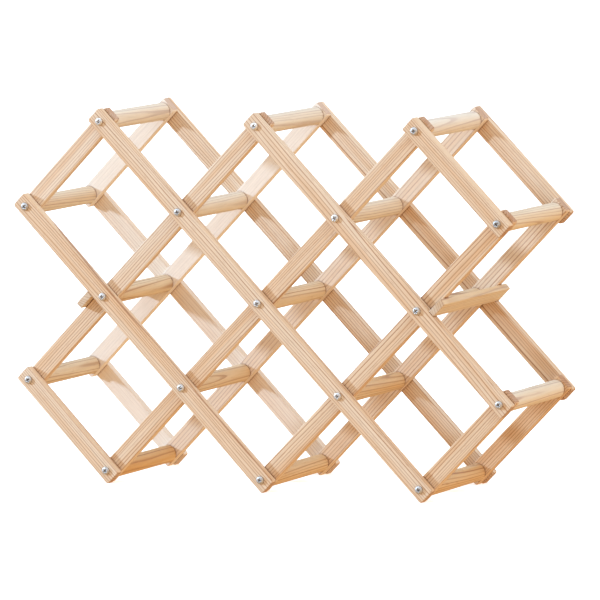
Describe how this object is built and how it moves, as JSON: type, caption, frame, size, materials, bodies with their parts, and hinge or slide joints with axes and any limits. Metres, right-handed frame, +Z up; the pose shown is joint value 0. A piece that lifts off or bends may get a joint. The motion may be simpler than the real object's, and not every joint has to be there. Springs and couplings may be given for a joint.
{
  "type": "folding wine rack",
  "caption": "Folding pine wine rack: front and rear scissor lattices of crossed slats joined by round dowels, holding bottles lying on their sides.",
  "frame": {"origin": "on the ground under the middle of the open rack", "axes": "+X to the right along the rack's length, +Y from front to rear, +Z up"},
  "size_m": [0.463, 0.1278, 0.3158],
  "materials": {
    "slat_pine": "planed pine, unfinished",
    "dowel_pine": "turned pine, sanded",
    "stop_pine": "planed pine, unfinished",
    "zinc": "bright zinc plate"
  },
  "bodies": {
    "foot_pivot": {"dowel_e2": "dowel_pine", "screws_foot": "zinc"},
    "outer_1": {"front_outer_slat_1": "slat_pine", "rear_outer_slat_1": "slat_pine"},
    "outer_2": {"front_outer_slat_2": "slat_pine", "rear_outer_slat_2": "slat_pine"},
    "outer_3": {"front_outer_slat_3": "slat_pine", "rear_outer_slat_3": "slat_pine"},
    "outer_4": {"front_outer_slat_4": "slat_pine", "rear_outer_slat_4": "slat_pine"},
    "outer_5": {"front_outer_slat_5": "slat_pine", "rear_outer_slat_5": "slat_pine"},
    "inner_1": {"front_inner_slat_1": "slat_pine", "rear_inner_slat_1": "slat_pine", "dowel_b1": "dowel_pine", "dowel_a1": "dowel_pine", "screws_inner_1": "zinc"},
    "inner_2": {"front_inner_slat_2": "slat_pine", "rear_inner_slat_2": "slat_pine", "dowel_d1": "dowel_pine", "dowel_c1": "dowel_pine", "dowel_b2": "dowel_pine", "dowel_a2": "dowel_pine", "screws_inner_2": "zinc", "left_stop_bar": "stop_pine", "left_stop_nails": "zinc"},
    "inner_3": {"front_inner_slat_3": "slat_pine", "rear_inner_slat_3": "slat_pine", "dowel_e1": "dowel_pine", "dowel_d2": "dowel_pine", "dowel_c2": "dowel_pine", "dowel_b3": "dowel_pine", "dowel_a3": "dowel_pine", "screws_inner_3": "zinc"},
    "inner_4": {"front_inner_slat_4": "slat_pine", "rear_inner_slat_4": "slat_pine", "dowel_d3": "dowel_pine", "dowel_c3": "dowel_pine", "dowel_b4": "dowel_pine", "screws_inner_4": "zinc", "right_stop_bar": "stop_pine", "right_stop_nails": "zinc"},
    "inner_5": {"front_inner_slat_5": "slat_pine", "rear_inner_slat_5": "slat_pine", "dowel_e3": "dowel_pine", "dowel_d4": "dowel_pine", "screws_inner_5": "zinc"}
  },
  "joints": [
    {"name": "fold", "type": "hinge", "parent": "foot_pivot", "child": "inner_4", "pos_m": [0, 0, 0.01084], "axis": [0, -1, 0], "range_deg": [0, 40]},
    {"name": "outer_2_pivot", "type": "hinge", "parent": "foot_pivot", "child": "outer_2", "pos_m": [0, 0, 0.01084], "axis": [0, -1, 0], "range_deg": [-40, 0]},
    {"name": "inner_1_pivot", "type": "hinge", "parent": "outer_2", "child": "inner_1", "pos_m": [-0.22062, 0, 0.23146], "axis": [0, -1, 0], "range_deg": [0, 80]},
    {"name": "inner_2_pivot", "type": "hinge", "parent": "outer_2", "child": "inner_2", "pos_m": [-0.14708, 0, 0.15792], "axis": [0, -1, 0], "range_deg": [0, 80]},
    {"name": "inner_3_pivot", "type": "hinge", "parent": "outer_2", "child": "inner_3", "pos_m": [-0.07354, 0, 0.08438], "axis": [0, -1, 0], "range_deg": [0, 80]},
    {"name": "outer_3_pivot", "type": "hinge", "parent": "inner_4", "child": "outer_3", "pos_m": [0.07354, 0, 0.08438], "axis": [0, -1, 0], "range_deg": [-80, 0]},
    {"name": "outer_4_pivot", "type": "hinge", "parent": "inner_4", "child": "outer_4", "pos_m": [0.14708, 0, 0.15792], "axis": [0, -1, 0], "range_deg": [-80, 0]},
    {"name": "outer_5_pivot", "type": "hinge", "parent": "inner_4", "child": "outer_5", "pos_m": [0.22062, 0, 0.23146], "axis": [0, -1, 0], "range_deg": [-80, 0]},
    {"name": "outer_1_pivot", "type": "hinge", "parent": "inner_3", "child": "outer_1", "pos_m": [-0.14708, 0, 0.01084], "axis": [0, -1, 0], "range_deg": [-80, 0]},
    {"name": "inner_5_pivot", "type": "hinge", "parent": "outer_3", "child": "inner_5", "pos_m": [0.14708, 0, 0.01084], "axis": [0, -1, 0], "range_deg": [0, 80]}
  ],
  "couplings": [
    {"joint": "outer_2_pivot", "follows": "fold", "ratio": -1},
    {"joint": "inner_1_pivot", "follows": "fold", "ratio": 2},
    {"joint": "inner_2_pivot", "follows": "fold", "ratio": 2},
    {"joint": "inner_3_pivot", "follows": "fold", "ratio": 2},
    {"joint": "inner_5_pivot", "follows": "fold", "ratio": 2},
    {"joint": "outer_3_pivot", "follows": "fold", "ratio": -2},
    {"joint": "outer_4_pivot", "follows": "fold", "ratio": -2},
    {"joint": "outer_5_pivot", "follows": "fold", "ratio": -2},
    {"joint": "outer_1_pivot", "follows": "fold", "ratio": -2}
  ]
}
